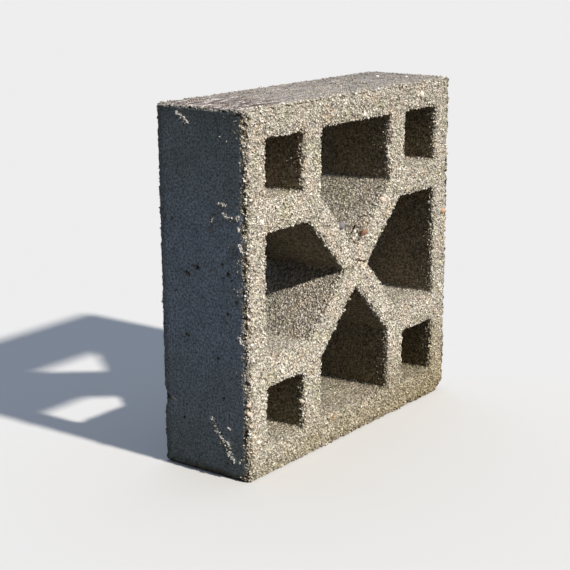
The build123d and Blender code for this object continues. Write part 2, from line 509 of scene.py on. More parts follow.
def weathering_tree(material):
    """Open texture on faces and cells, a waved skin on the sides, pits, ragged edges and the marks."""
    numbers = ("Grain Size", "Relief", "Pit Depth", "Pit Spacing", "Arris Loss", "Arris Reach")
    numbers += ("Notch Depth", "Skin Wave", "Seed")
    sockets = [(name, "NodeSocketFloat") for name in numbers]
    sockets += [("Outlines", "NodeSocketObject"), ("Marks", "NodeSocketObject")]
    tree, given = tree_for("Weathered casting", sockets)
    seed = given["Seed"]
    place = add(tree, "GeometryNodeInputPosition")
    normal = add(tree, "GeometryNodeInputNormal")
    under_end, under_bed, under_face, arris = depths(tree, place)
    under_side = add(tree, "ShaderNodeMath", under_end, under_bed, operation="MINIMUM")

    # Grains: each stands proud in its middle and is sunk as a whole by its own chance
    scale = add(tree, "ShaderNodeMath", 1.0, given["Grain Size"], operation="DIVIDE")
    grain = add(tree, "ShaderNodeTexVoronoi", place, seed, scale, voronoi_dimensions="4D").node.outputs
    chance = add(tree, "ShaderNodeSeparateXYZ", grain["Color"]).node.outputs
    hollow = (grain["Distance"], 0.15, 0.75)
    hollow = add(tree, "ShaderNodeMapRange", *hollow, interpolation_type="SMOOTHSTEP")
    sunk = add(tree, "ShaderNodeMath", chance[0], 1.0, hollow, operation="MULTIPLY_ADD")

    # Pits: a grain is missing in some of the larger places
    scale = add(tree, "ShaderNodeMath", 1.0, given["Pit Spacing"], operation="DIVIDE")
    pit = add(tree, "ShaderNodeTexVoronoi", place, seed, scale, voronoi_dimensions="4D").node.outputs
    pit_chance = add(tree, "ShaderNodeSeparateXYZ", pit["Color"])
    pit_reach = add(tree, "ShaderNodeMapRange", pit_chance, 0.0, 0.7, 0.42, 0.06)
    pit_core = add(tree, "ShaderNodeMath", pit_reach, pit["Distance"], operation="SUBTRACT")
    pit_mask = add(tree, "ShaderNodeMapRange", pit_core, 0.0, 0.14, interpolation_type="SMOOTHSTEP")

    # Marks: chips slope away from the arris, crusts stand proud, and holes go straight in
    names = ("reach", "deep", "chip", "crust", "hole")
    away, reach, deep, *kinds = nearest_point(tree, given["Marks"], place, names)
    fray = add(tree, "ShaderNodeTexNoise", place, seed, 1 / (2.6 * MM), 3.0, 0.6, noise_dimensions="4D")
    fray = add(tree, "ShaderNodeMath", fray, 2.6, -1.3, operation="MULTIPLY_ADD")
    near = add(tree, "ShaderNodeMath", away, reach, operation="DIVIDE")
    near = add(tree, "ShaderNodeMath", near, fray, operation="ADD")
    inside = add(tree, "ShaderNodeMapRange", near, 1.05, 0.7, interpolation_type="SMOOTHSTEP")
    slope = add(tree, "ShaderNodeMapRange", near, 1.05, -0.1)
    chip, crust, hole = (add(tree, "ShaderNodeMath", inside, kind, operation="MULTIPLY") for kind in kinds)
    carved = add(tree, "ShaderNodeMath", chip, slope, operation="MULTIPLY")
    carved = add(tree, "ShaderNodeMath", hole, 1.0, carved, operation="MULTIPLY_ADD")
    bits = add(tree, "ShaderNodeTexNoise", place, 1 / (1.7 * MM), 2.0, 0.5)
    bits = add(tree, "ShaderNodeMapRange", bits, 0.45, 0.55)
    crust = add(tree, "ShaderNodeMath", crust, bits, operation="MULTIPLY")
    dome = add(tree, "ShaderNodeMath", slope, 0.5, operation="POWER")
    dome = add(tree, "ShaderNodeMath", dome, crust, operation="MULTIPLY")
    carved = add(tree, "ShaderNodeMath", carved, dome, operation="SUBTRACT")
    carved = add(tree, "ShaderNodeMath", carved, deep, operation="MULTIPLY")

    # Open texture everywhere but on the skin, partly on the two beds, and finer deep in the cells
    open_zone = (under_side, 0.5 * MM, 2 * MM)
    open_zone = add(tree, "ShaderNodeMapRange", *open_zone, interpolation_type="SMOOTHSTEP")
    bed_zone = add(tree, "ShaderNodeMapRange", under_bed, 2.5 * MM, 1.0 * MM)
    side_zone = add(tree, "ShaderNodeMapRange", arris, 6.5 * MM, 3 * MM)
    for zone in (bed_zone, side_zone, chip):
        open_zone = add(tree, "ShaderNodeMath", open_zone, zone, operation="MAXIMUM")
    deep_zone = add(tree, "ShaderNodeMapRange", under_face, 3 * MM, 10 * MM, 1.0, 0.34)
    open_zone = add(tree, "ShaderNodeMath", open_zone, deep_zone, operation="MULTIPLY")
    relief = add(tree, "ShaderNodeMath", sunk, given["Relief"], operation="MULTIPLY")
    relief = add(tree, "ShaderNodeMath", pit_mask, given["Pit Depth"], relief, operation="MULTIPLY_ADD")
    relief = add(tree, "ShaderNodeMath", relief, open_zone, carved, operation="MULTIPLY_ADD")
    wave = add(tree, "ShaderNodeTexNoise", place, 1 / (30 * MM), 2.0, 0.5)
    relief = add(tree, "ShaderNodeMath", wave, given["Skin Wave"], relief, operation="MULTIPLY_ADD")

    # Arrises: worn in long hollows, with single grains bitten out
    outline = add(tree, "GeometryNodeObjectInfo", named={"Object": given["Outlines"]}, output="Geometry")
    edge = add(tree, "GeometryNodeProximity", outline, output="Distance", target_element="EDGES")
    edge = (edge, 0.0, given["Arris Reach"], 1.0, 0.0)
    edge = add(tree, "ShaderNodeMapRange", *edge, interpolation_type="SMOOTHERSTEP")
    worn = add(tree, "ShaderNodeTexNoise", place, seed, 1 / (8 * MM), 4.0, 0.65, noise_dimensions="4D")
    worn = add(tree, "ShaderNodeMapRange", worn, 0.42, 0.66)
    often = add(tree, "ShaderNodeMapRange", under_side, 6 * MM, 14 * MM, 0.3, 0.44)
    bitten = add(tree, "ShaderNodeMath", often, chance[1], operation="SUBTRACT")
    bitten = add(tree, "ShaderNodeMapRange", bitten, 0.0, 0.06, 0.0, 1.1)
    calm = add(tree, "ShaderNodeMapRange", under_bed, 2 * MM, 7 * MM, 0.4, 1.0)
    bitten = add(tree, "ShaderNodeMath", bitten, calm, operation="MULTIPLY")
    bitten = add(tree, "ShaderNodeMath", bitten, edge, operation="MULTIPLY")
    worn = add(tree, "ShaderNodeMath", worn, edge, operation="MULTIPLY")
    worn = add(tree, "ShaderNodeMath", worn, 0.24, bitten, operation="MULTIPLY_ADD")
    relief = add(tree, "ShaderNodeMath", worn, given["Arris Loss"], relief, operation="MULTIPLY_ADD")

    # Notches: whole lumps are gone from the outer arrises here and there
    lost = add(tree, "ShaderNodeSeparateXYZ", pit["Color"]).node.outputs[1]
    lost = add(tree, "ShaderNodeMapRange", lost, 0.30, 0.23)
    notch = add(tree, "ShaderNodeMapRange", arris, 6 * MM, 2 * MM, interpolation_type="SMOOTHSTEP")
    notch = add(tree, "ShaderNodeMath", notch, calm, operation="MULTIPLY")
    notch = add(tree, "ShaderNodeMath", notch, lost, operation="MULTIPLY")
    relief = add(tree, "ShaderNodeMath", notch, given["Notch Depth"], relief, operation="MULTIPLY_ADD")

    # What is left goes to the material and to the grains: gaps, marks and broken places
    inward = add(tree, "ShaderNodeMath", relief, -1.0, operation="MULTIPLY")
    push = add(tree, "ShaderNodeVectorMath", normal, inward, operation="SCALE")
    shaped = add(tree, "GeometryNodeSetPosition", given["Geometry"], named={"Offset": push})
    # Painted shade: pits in the open texture and holes, which the material paints dark as their shade
    pit_and_hole_shade = add(tree, "ShaderNodeMath", pit_mask, open_zone, operation="MULTIPLY")
    pit_and_hole_shade = add(tree, "ShaderNodeMath", pit_and_hole_shade, hole, operation="MAXIMUM")
    broken = add(tree, "ShaderNodeMath", bitten, notch, operation="MAXIMUM")
    kept = (("pit", pit_and_hole_shade), ("hole", hole), ("chip", chip), ("crust", crust), ("broken", broken))
    for name, value in kept:
        named = {"Name": name, "Value": value}
        shaped = add(tree, "GeometryNodeStoreNamedAttribute", shaped, named=named, data_type="FLOAT")
    close_tree(tree, shaped, material)
    return tree


def patch_tint(tree, place):
    """What the open texture is multiplied by: broad greenish or warm patches, and a soiled foot.

    The top rim and the right end are a little duller than the rest.
    """
    broad = add(tree, "ShaderNodeTexNoise", place, 1 / (22 * MM), 3.0, 0.6)
    tints = [(0.38, "#f5f7ee"), (0.5, "#fcfdff"), (0.62, "#fffaf4")]
    tint = add(tree, "ShaderNodeValToRGB", broad, stops=tints)
    parts = add(tree, "ShaderNodeSeparateXYZ", place).node.outputs
    low = add(tree, "ShaderNodeMath", parts["X"], -0.22, parts["Z"], operation="MULTIPLY_ADD")
    low = add(tree, "ShaderNodeMath", broad, 40 * MM, low, operation="MULTIPLY_ADD")
    high = add(tree, "ShaderNodeMapRange", parts["Z"], HIGH.z - 45 * MM, HIGH.z - 20 * MM, 1.11, 0.99)
    right = add(tree, "ShaderNodeMapRange", parts["X"], 60 * MM, 130 * MM, 1.0, 0.93)
    high = add(tree, "ShaderNodeMath", high, right, operation="MULTIPLY")
    tint = add(tree, "ShaderNodeVectorMath", tint, high, operation="SCALE")
    soiled = add(tree, "ShaderNodeMapRange", low, 84 * MM, -8 * MM)
    return add(tree, "ShaderNodeMix", soiled, tint, linear("#d0c5a7"), output="Result", data_type="RGBA")


def dust_and_painted_shade(tree):
    """What a cell's wall is multiplied by: pale dust on what looks up, and painted shade, brown like warm
    bounce light, on the rest.
    """
    looks_up = add(tree, "ShaderNodeNewGeometry", output="Normal")
    looks_up = add(tree, "ShaderNodeSeparateXYZ", looks_up).node.outputs["Z"]
    looks_up_share = add(tree, "ShaderNodeMapRange", looks_up, 0.1, 0.6)
    tones = (linear("#c6beac"), linear("#f8f7f5"))
    painted_wall_shade = add(tree, "ShaderNodeMix", looks_up_share, *tones, output="Result", data_type="RGBA")
    # Painted shade: the walls darken deeper into the cell, from 1.06 near the front to 0.7
    through = add(tree, "ShaderNodeSeparateXYZ", add(tree, "ShaderNodeTexCoord", output="Object"))
    through = add(tree, "ShaderNodeMapRange", through.node.outputs["Y"], -10 * MM, 30 * MM, 1.06, 0.7)
    return add(tree, "ShaderNodeVectorMath", painted_wall_shade, through, operation="SCALE")


def mortar_film(tree, place, under_end, under_face, shade):
    """A film of mortar on a bed: streaked along it, pale at the rim, and at the left end in tips of
    painted light with painted shade between them.
    """
    coarse = add(tree, "ShaderNodeTexNoise", place, 1 / (9 * MM), 4.0, 0.6)
    along = add(tree, "ShaderNodeMapping", place, None, None, (0.1, 1.0, 1.0))
    streak = add(tree, "ShaderNodeTexNoise", along, 1 / (3.6 * MM), 5.0, 0.7)
    streak = add(tree, "ShaderNodeMapRange", streak, 0.36, 0.64, 0.5, 1.46)
    film = add(tree, "ShaderNodeVectorMath", shade, streak, operation="SCALE")
    along_x = add(tree, "ShaderNodeSeparateXYZ", place).node.outputs["X"]
    # Painted light and shade: at the left end, pale lit tips with near-black painted shade between them
    tips_light_and_shade = add(tree, "ShaderNodeMapping", place, None, None, (0.16, 1.0, 1.0))
    tips_light_and_shade = add(tree, "ShaderNodeTexNoise", tips_light_and_shade, 1 / (3.2 * MM), 4.0, 0.7)
    tip_tones = [(0.43, "#3a2520"), (0.515, "#8f7a70"), (0.6, "#f4eade")]
    tips_light_and_shade = add(tree, "ShaderNodeValToRGB", tips_light_and_shade, stops=tip_tones)
    worn = add(tree, "ShaderNodeMapRange", along_x, 0.0, 110 * MM, 1.0, 0.86)
    film = add(tree, "ShaderNodeVectorMath", film, worn, operation="SCALE")
    patchy = add(tree, "ShaderNodeMath", coarse, 50 * MM, along_x, operation="MULTIPLY_ADD")
    patchy = add(tree, "ShaderNodeMapRange", patchy, -45 * MM, -80 * MM, 0.0, 0.9)
    film = add(tree, "ShaderNodeMix", patchy, film, tips_light_and_shade, output="Result", data_type="RGBA")
    rim = add(tree, "ShaderNodeMath", under_end, under_face, operation="MINIMUM")
    rim = add(tree, "ShaderNodeMath", coarse, 14 * MM, rim, operation="MULTIPLY_ADD")
    rim = add(tree, "ShaderNodeMapRange", rim, 11.5 * MM, 8 * MM, 0.0, 0.7)
    return add(tree, "ShaderNodeMix", rim, film, linear("#dcd3c6"), output="Result", data_type="RGBA")


def concrete_material(settings):
    """Dry-cast concrete, tamped on its two faces and slid out of a steel mould on its four sides.

    The open texture looks pale, sandy, speckled and quite matt, with gaps painted dark as shade. The mould
    skin looks dense, grey with a painted blue tint of skylight, and finely mottled, with pinholes painted
    dark as shade and a faint sheen.
    """
    material, tree = material_for("cast concrete, open texture and mould skin")
    place = add(tree, "ShaderNodeTexCoord", output="Object")
    parts = add(tree, "ShaderNodeSeparateXYZ", place).node.outputs
    under_end, under_bed, under_face, arris = depths(tree, place)
    under_side = add(tree, "ShaderNodeMath", under_end, under_bed, operation="MINIMUM")
    chip = add(tree, "ShaderNodeAttribute", output="Fac", attribute_name="chip")
    pit = add(tree, "ShaderNodeAttribute", output="Fac", attribute_name="pit")

    # Unevenness of three sizes: single grains, clumps of them, and clouds as wide as a wall
    fine = add(tree, "ShaderNodeTexNoise", place, 1 / (2.4 * MM), 3.0, 0.6)
    coarse = add(tree, "ShaderNodeTexNoise", place, 1 / (9 * MM), 4.0, 0.6)
    broad = add(tree, "ShaderNodeTexNoise", place, 1 / (36 * MM), 5.0, 0.6)
    fray = add(tree, "ShaderNodeMapRange", fine, 0.3, 0.7, -0.9 * MM, 0.9 * MM)

    # Sand: every grain of 1 to 2 mm has its own tone, and the gaps between the grains are painted dark as
    # shade
    clump = add(tree, "ShaderNodeTexVoronoi", place, 1 / (1.9 * MM), output="Distance")
    painted_crevice_shade = add(tree, "ShaderNodeMapRange", clump, 0.35, 0.7)
    sand = add(tree, "ShaderNodeTexVoronoi", place, 1 / (1.5 * MM)).node.outputs
    tone = add(tree, "ShaderNodeSeparateXYZ", sand["Color"])
    sand_tones = [(0.0, "#4a4338"), (0.2, "#857a69"), (0.45, "#bdb29f"), (0.7, "#dcd3c2")]
    sand_tones += [(1.0, "#f5eee1")]
    speck = add(tree, "ShaderNodeValToRGB", tone, stops=sand_tones)
    face_base = tuple(settings.face_colour)
    cell_base = tuple(settings.cell_colour)
    face = add(tree, "ShaderNodeMix", 0.6, face_base, speck, output="Result", data_type="RGBA")
    cell = add(tree, "ShaderNodeMix", 0.75, cell_base, speck, output="Result", data_type="RGBA")
    on_face = add(tree, "ShaderNodeMath", under_face, fray, operation="ADD")
    on_face = add(tree, "ShaderNodeMapRange", on_face, 4.5 * MM, 2 * MM)
    on_face = add(tree, "ShaderNodeMath", on_face, chip, operation="MAXIMUM")
    # Painted shade on the cells' walls, with dust on what looks up
    cell = add(tree, "ShaderNodeVectorMath", cell, dust_and_painted_shade(tree), operation="MULTIPLY")
    bare = add(tree, "ShaderNodeMix", on_face, cell, face, output="Result", data_type="RGBA")
    # Painted shade: the gaps between sand grains are darkened to between a half and 0.6
    least = add(tree, "ShaderNodeMapRange", on_face, 0.0, 1.0, 0.5, 0.6)
    painted_gap_shade = add(tree, "ShaderNodeMapRange", painted_crevice_shade, 0.0, 1.0, 1.2, least)
    bare = add(tree, "ShaderNodeVectorMath", bare, painted_gap_shade, operation="SCALE")
    low = add(tree, "ShaderNodeMapRange", parts["Z"], 60 * MM, 8 * MM, 0.0, 0.28)
    lichen = add(tree, "ShaderNodeMapRange", coarse, 0.42, 0.6)
    lichen = add(tree, "ShaderNodeMath", lichen, low, operation="MULTIPLY")
    bare = add(tree, "ShaderNodeMix", lichen, bare, linear("#858960"), output="Result", data_type="RGBA")
    bare = add(tree, "ShaderNodeVectorMath", bare, patch_tint(tree, place), operation="MULTIPLY")

    # Skin: grey with a painted blue tint of cool skylight half way up, fading to plain grey at the right
    # end, cloudy, finely mottled, with a band of painted shade beside the back face, darker under the top,
    # and moss at the foot
    off_middle = add(tree, "ShaderNodeMath", parts["Z"], MIDDLE.z, operation="SUBTRACT")
    off_middle = add(tree, "ShaderNodeMath", off_middle, operation="ABSOLUTE")
    tinted = add(tree, "ShaderNodeMath", broad, 160 * MM, off_middle, operation="MULTIPLY_ADD")
    tinted = add(tree, "ShaderNodeMapRange", tinted, 120 * MM, 210 * MM)
    skin = (tinted, tuple(settings.sky_tinted_skin_colour), tuple(settings.dull_skin_colour))
    skin = add(tree, "ShaderNodeMix", *skin, output="Result", data_type="RGBA")
    # The painted skylight tint fades out towards the right end
    untinted = add(tree, "ShaderNodeMapRange", parts["X"], 0.0, 120 * MM, 0.0, 0.75)
    skin = (untinted, skin, tuple(settings.untinted_skin_colour))
    skin = add(tree, "ShaderNodeMix", *skin, output="Result", data_type="RGBA")
    grain = add(tree, "ShaderNodeTexNoise", place, 1 / (1.7 * MM), 2.0, 0.6)
    mottle = add(tree, "ShaderNodeMapRange", grain, 0.34, 0.66, 0.42, 1.58)
    # Painted shade: pinholes are darkened to about a quarter, as the shade in them
    pinhole = add(tree, "ShaderNodeTexVoronoi", place, 1 / (2.4 * MM)).node.outputs
    dark_ones = add(tree, "ShaderNodeSeparateXYZ", pinhole["Color"])
    dark_ones = add(tree, "ShaderNodeMapRange", dark_ones, 0.0, 0.5, 0.5, 0.05)
    hollow = add(tree, "ShaderNodeMath", dark_ones, pinhole["Distance"], operation="SUBTRACT")
    hollow = add(tree, "ShaderNodeMapRange", hollow, 0.0, 0.1, 1.08, 0.28)
    mottle = add(tree, "ShaderNodeMath", mottle, hollow, operation="MULTIPLY")
    grit = add(tree, "ShaderNodeMapRange", mottle, 0.5, 1.5, 0.7, 1.3)
    cloud = add(tree, "ShaderNodeMapRange", coarse, 0.3, 0.7, 0.84, 1.16)
    shade = add(tree, "ShaderNodeMath", mottle, cloud, operation="MULTIPLY")
    # Painted shade: the skin darkens to 0.6 beside the back face, where the arris rounds off
    band = add(tree, "ShaderNodeMath", parts["Y"], fray, operation="ADD")
    band = add(tree, "ShaderNodeMapRange", band, HALF_DEPTH - 9 * MM, HALF_DEPTH - 5 * MM, 1.0, 0.6)
    shade = add(tree, "ShaderNodeMath", shade, band, operation="MULTIPLY")
    band = add(tree, "ShaderNodeMapRange", parts["Z"], HIGH.z - 14 * MM, HIGH.z - 4 * MM, 1.0, 0.68)
    shade = add(tree, "ShaderNodeMath", shade, band, operation="MULTIPLY")
    skin = add(tree, "ShaderNodeVectorMath", skin, shade, operation="SCALE")
    foot = add(tree, "ShaderNodeMath", coarse, 14 * MM, parts["Z"], operation="MULTIPLY_ADD")
    foot = add(tree, "ShaderNodeMapRange", foot, 14 * MM, 9 * MM, 0.0, 0.8)
    moss = tuple(settings.moss_colour)
    skin = add(tree, "ShaderNodeMix", foot, skin, moss, output="Result", data_type="RGBA")

    # Beds: a film of mortar, which runs over the worn upper arris as far as it looks up
    film = mortar_film(tree, place, under_end, under_face, tuple(settings.film_colour)[:3])
    film = add(tree, "ShaderNodeVectorMath", film, grit, operation="SCALE")
    # Painted shade: the gaps in the bed's film are darkened, most at the left end
    least = add(tree, "ShaderNodeMapRange", parts["X"], -30 * MM, -100 * MM, 0.78, 0.62)
    painted_gap_shade = add(tree, "ShaderNodeMapRange", painted_crevice_shade, 0.0, 1.0, 1.12, least)
    film = add(tree, "ShaderNodeVectorMath", film, painted_gap_shade, operation="SCALE")
    on_bed = add(tree, "ShaderNodeMath", under_bed, under_end, operation="SUBTRACT")
    on_bed = add(tree, "ShaderNodeMapRange", on_bed, 0.0, -0.6 * MM)
    tilt = add(tree, "ShaderNodeNewGeometry", output="True Normal")
    tilt = add(tree, "ShaderNodeSeparateXYZ", tilt).node.outputs
    looks_up = add(tree, "ShaderNodeMapRange", tilt["Z"], 0.12, 0.3)
    at_top = add(tree, "ShaderNodeMapRange", under_bed, 3.4 * MM, 2.6 * MM)
    looks_up = add(tree, "ShaderNodeMath", looks_up, at_top, operation="MULTIPLY")
    on_bed = add(tree, "ShaderNodeMath", on_bed, looks_up, operation="MAXIMUM")
    skin = add(tree, "ShaderNodeMix", on_bed, skin, film, output="Result", data_type="RGBA")

    # Painted shade: the open texture is darker where it looks sideways beside an arris, as on the shaded
    # ends
    painted_side_shade = add(tree, "ShaderNodeMath", tilt["X"], operation="ABSOLUTE")
    painted_side_shade = add(tree, "ShaderNodeMapRange", painted_side_shade, 0.5, 0.75)
    beside = add(tree, "ShaderNodeMapRange", under_side, 7 * MM, 4 * MM)
    painted_side_shade = add(tree, "ShaderNodeMath", painted_side_shade, beside, operation="MULTIPLY")
    painted_side_shade = add(tree, "ShaderNodeMapRange", painted_side_shade, 0.0, 1.0, 1.0, 0.4)
    bare = add(tree, "ShaderNodeVectorMath", bare, painted_side_shade, operation="SCALE")

    # The skin ends raggedly at the arrises, and where a piece is broken off
    on_skin = add(tree, "ShaderNodeMath", under_side, fray, operation="ADD")
    on_skin = add(tree, "ShaderNodeMapRange", on_skin, 2.0 * MM, 1.2 * MM)
    patch = add(tree, "ShaderNodeMath", coarse, 10 * MM, arris, operation="MULTIPLY_ADD")
    patch = add(tree, "ShaderNodeMath", patch, fray, operation="ADD")
    patch = add(tree, "ShaderNodeMapRange", patch, 8.0 * MM, 9.4 * MM)
    patch = add(tree, "ShaderNodeMath", patch, on_bed, operation="MAXIMUM")
    on_skin = add(tree, "ShaderNodeMath", on_skin, patch, operation="MULTIPLY")
    turned = add(tree, "ShaderNodeMath", tilt["Y"], operation="ABSOLUTE")
    turned = add(tree, "ShaderNodeMapRange", turned, 0.35, 0.15)
    on_skin = add(tree, "ShaderNodeMath", on_skin, turned, operation="MULTIPLY")
    broken = add(tree, "ShaderNodeAttribute", output="Fac", attribute_name="broken")
    whole = add(tree, "ShaderNodeMath", chip, broken, operation="MAXIMUM")
    whole = add(tree, "ShaderNodeMapRange", whole, 0.25, 0.06)
    on_skin = add(tree, "ShaderNodeMath", on_skin, whole, operation="MULTIPLY")
    base = add(tree, "ShaderNodeMix", on_skin, bare, skin, output="Result", data_type="RGBA")

    # Crusts are bare mortar, and pits, holes and broken places are painted dark as shade
    crust = add(tree, "ShaderNodeAttribute", output="Fac", attribute_name="crust")
    crust = add(tree, "ShaderNodeMapRange", crust, 0.3, 0.7)
    mortar = add(tree, "ShaderNodeVectorMath", tuple(settings.crust_colour)[:3], grit, operation="SCALE")
    base = add(tree, "ShaderNodeMix", crust, base, mortar, output="Result", data_type="RGBA")
    # Painted shade: pits, holes and broken places are mixed towards near-black
    painted_gap_shade = add(tree, "ShaderNodeMath", broken, 0.5, operation="MULTIPLY")
    painted_gap_shade = add(tree, "ShaderNodeMath", painted_gap_shade, pit, operation="MAXIMUM")
    painted_gap_shade = add(tree, "ShaderNodeMapRange", painted_gap_shade, 0.15, 0.8, 0.0, 0.8)
    base = add(tree, "ShaderNodeMix", painted_gap_shade, base, linear("#2a251e"), output="Result", data_type="RGBA")

    # Bump finer than the mesh: sand grains and grit, much weaker on the skin
    grit = add(tree, "ShaderNodeTexNoise", place, 1 / (0.9 * MM), 2.0)
    height = add(tree, "ShaderNodeMath", clump, -1.0, grit, operation="MULTIPLY_ADD")
    rough_here = add(tree, "ShaderNodeMapRange", on_skin, 0.0, 1.0, 1.0, 0.35)
    height = add(tree, "ShaderNodeMath", height, rough_here, operation="MULTIPLY")
    bump = add(tree, "ShaderNodeBump", named={"Height": height, "Strength": 1.0, "Distance": 1.8 * MM})
    roughness = add(tree, "ShaderNodeMapRange", on_skin, 0.0, 1.0, 0.93, 0.76)
    named = {"Base Color": base, "Roughness": roughness, "Normal": bump}
    add(tree, "ShaderNodeOutputMaterial", add(tree, "ShaderNodeBsdfPrincipled", named=named))
    return material


class SCREENBLOCK_OT_casting(bpy.types.Operator):
    """Make the cast body with its open texture, its mould skin and its worn edges"""

    bl_idname = "screenblock.casting"
    bl_label = "Cast body"

    def execute(self, context):
        settings = context.scene.screenblock_casting
        solid, outline_mesh = casting_copy()
        outlines = link("face_outlines", outline_mesh)
        marks = mark_points(("chip", "crust", "hole"))
        rough = link("casting_rough", solid)
        even = rough.modifiers.new("Even mesh", "REMESH")
        even.mode = "VOXEL"
        even.voxel_size = settings.mesh_size
        body_mesh = plain_mesh(rough, "casting_even")
        discard(rough)
        working = link("casting_working", body_mesh)
        material = concrete_material(settings)
        values = {
            "Grain Size": settings.grain_size,
            "Relief": settings.relief,
            "Pit Depth": settings.pit_depth,
            "Pit Spacing": settings.pit_spacing,
            "Arris Loss": settings.arris_loss,
            "Arris Reach": settings.arris_reach,
            "Notch Depth": settings.notch_depth,
            "Skin Wave": settings.skin_wave,
            "Seed": float(settings.seed),
            "Outlines": outlines,
            "Marks": marks,
        }
        grow(working, weathering_tree(material), values)
        thin = working.modifiers.new("Fewer triangles", "DECIMATE")
        thin.ratio = MOST_TRIANGLES / (2 * len(body_mesh.polygons))
        thin.use_collapse_triangulate = True
        body = link("cast_body", plain_mesh(working, "cast_body"))
        for spare in (working, outlines, marks):
            discard(spare)
        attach(body, "root")
        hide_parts(CASTING)
        return {"FINISHED"}


def aggregate_material(settings):
    """River gravel and crushed stone: matt grains of mixed colours, most of them pale.

    Cement dulls those at a side, mortar those on a bed, and dust and painted shade those in a cell.
    """
    material, tree = material_for("mixed gravel aggregate")
    tone = add(tree, "ShaderNodeAttribute", output="Fac", attribute_name="tone")
    gravel_tones = [
        (0.0, "#665f55"),
        (0.12, "#aaa295"),
        (0.26, "#d2cabd"),
        (0.4, "#e6dfd3"),
        (0.56, "#e8e1cf"),
        (0.7, "#f1eadc"),
        (0.8, "#f1ebe3"),
        (0.86, "#f8f3ea"),
        (0.9, "#b5b5b2"),
        (0.95, "#ecd9be"),
        (1.0, "#dfc09f"),
    ]
    base = add(tree, "ShaderNodeValToRGB", tone, stops=gravel_tones)
    place = add(tree, "ShaderNodeTexCoord", output="Object")
    under_end, under_bed, under_face, arris = depths(tree, place)
    base = add(tree, "ShaderNodeVectorMath", base, patch_tint(tree, place), operation="MULTIPLY")

    # Cement covers the grains of a side, and a film of mortar those of a bed
    covered = add(tree, "ShaderNodeMapRange", arris, 5 * MM, 8 * MM, 0.0, 0.85)
    near_end = add(tree, "ShaderNodeMapRange", under_end, 1.6 * MM, 0.9 * MM)
    near_bed = add(tree, "ShaderNodeMapRange", under_bed, 1.6 * MM, 0.9 * MM)
    for near, cover in ((near_end, settings.sky_tinted_skin_colour), (near_bed, settings.film_colour)):
        share = add(tree, "ShaderNodeMath", near, covered, operation="MULTIPLY")
        base = add(tree, "ShaderNodeMix", share, base, tuple(cover), output="Result", data_type="RGBA")

    # Grains in a cell are more alike, with sand between them
    in_cell = add(tree, "ShaderNodeMapRange", under_face, 3 * MM, 7 * MM)
    alike = add(tree, "ShaderNodeMath", in_cell, 0.5, operation="MULTIPLY")
    base = add(tree, "ShaderNodeMix", alike, base, linear("#ddd5c7"), output="Result", data_type="RGBA")
    white = linear("#ffffff")
    # Painted shade: a cell's grains are darkened like its walls, with dust on what looks up
    wall = add(tree, "ShaderNodeMix", in_cell, white, dust_and_painted_shade(tree), output="Result", data_type="RGBA")
    base = add(tree, "ShaderNodeVectorMath", base, wall, operation="MULTIPLY")
    speckle = add(tree, "ShaderNodeTexNoise", place, 1 / (0.85 * MM), 3.0)
    speckle = add(tree, "ShaderNodeMapRange", speckle, 0.32, 0.68, 0.54, 1.38)
    sand = add(tree, "ShaderNodeTexVoronoi", place, 1 / (1.25 * MM)).node.outputs
    sandy = add(tree, "ShaderNodeSeparateXYZ", sand["Color"])
    sandy = add(tree, "ShaderNodeMapRange", sandy, 0.0, 1.0, 0.36, 1.7)
    sandy = add(tree, "ShaderNodeMapRange", in_cell, 0.0, 1.0, 1.0, sandy)
    shade = add(tree, "ShaderNodeMath", speckle, sandy, operation="MULTIPLY")
    base = add(tree, "ShaderNodeVectorMath", base, shade, operation="SCALE")
    height = add(tree, "ShaderNodeMath", sand["Distance"], -1.0, operation="MULTIPLY")
    depth = add(tree, "ShaderNodeMapRange", in_cell, 0.0, 1.0, 0.5, 1.0)
    height = add(tree, "ShaderNodeMath", height, depth, operation="MULTIPLY")
    bump = add(tree, "ShaderNodeBump", named={"Height": height, "Strength": 1.0, "Distance": 1.5 * MM})
    named = {"Base Color": base, "Roughness": 0.78, "Normal": bump}
    shader = add(tree, "ShaderNodeBsdfPrincipled", named=named)
    add(tree, "ShaderNodeOutputMaterial", shader)
    return material


